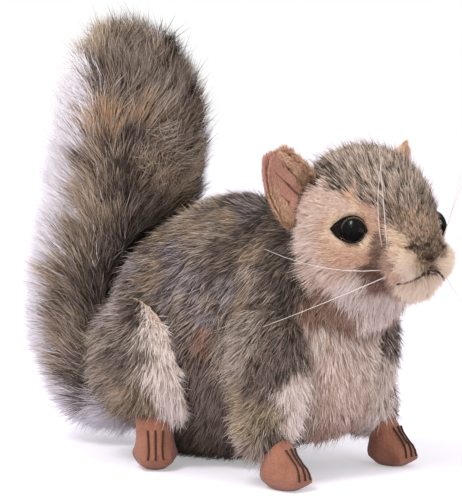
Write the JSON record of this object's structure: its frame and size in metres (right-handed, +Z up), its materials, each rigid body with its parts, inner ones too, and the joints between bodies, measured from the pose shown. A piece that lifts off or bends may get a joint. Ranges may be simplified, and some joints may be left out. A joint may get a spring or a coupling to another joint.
{
  "type": "plush squirrel",
  "caption": "Stuffed plush squirrel crouched on its feet with a bushy tail raised behind its back, cupped velour-lined ears, domed black eyes and nylon whiskers; a soft toy to hold or display",
  "frame": {"origin": "on the surface that the squirrel stands on, below the middle of its bounding box", "axes": "+X to the squirrel's left, +Y towards its tail (it looks along -Y), +Z up"},
  "size_m": [0.1336, 0.2738, 0.23],
  "materials": {
    "grey_plush": "long-pile plush in mixed grey and brown, with cream parts",
    "cream_plush": "short-pile cream plush",
    "tan_velour": "tan velour",
    "ear_plush": "tan plush",
    "ear_velour": "pink velour",
    "eye_black": "polished black",
    "eye_felt": "black felt",
    "washer_nylon": "natural moulded nylon",
    "brown_thread": "dark brown sewing thread",
    "clear_nylon": "pale nylon bristle"
  },
  "bodies": {
    "root": {"torso": "grey_plush", "head": "grey_plush", "muzzle": "cream_plush", "mouth_thread": "brown_thread", "eye_right": "eye_black", "eye_patch_right": "eye_felt", "eye_washer_right": "washer_nylon", "ear_right": "ear_plush", "ear_lining_right": "ear_velour", "foreleg_right": "grey_plush", "forepaw_right": "tan_velour", "haunch_right": "grey_plush", "hind_foot_right": "tan_velour", "whisker_high_right": "clear_nylon", "whisker_upper_right": "clear_nylon", "whisker_mid_right": "clear_nylon", "whisker_low_right": "clear_nylon", "toe_thread_forepaw_right_a": "brown_thread", "toe_thread_forepaw_right_b": "brown_thread", "toe_thread_forepaw_right_c": "brown_thread", "toe_thread_hind_foot_right_a": "brown_thread", "toe_thread_hind_foot_right_b": "brown_thread", "toe_thread_hind_foot_right_c": "brown_thread", "eye_left": "eye_black", "eye_patch_left": "eye_felt", "eye_washer_left": "washer_nylon", "ear_left": "ear_plush", "ear_lining_left": "ear_velour", "foreleg_left": "grey_plush", "forepaw_left": "tan_velour", "haunch_left": "grey_plush", "hind_foot_left": "tan_velour", "whisker_high_left": "clear_nylon", "whisker_upper_left": "clear_nylon", "whisker_mid_left": "clear_nylon", "whisker_low_left": "clear_nylon", "toe_thread_forepaw_left_a": "brown_thread", "toe_thread_forepaw_left_b": "brown_thread", "toe_thread_forepaw_left_c": "brown_thread", "toe_thread_hind_foot_left_a": "brown_thread", "toe_thread_hind_foot_left_b": "brown_thread", "toe_thread_hind_foot_left_c": "brown_thread", "tail": "grey_plush"}
  },
  "joints": []
}
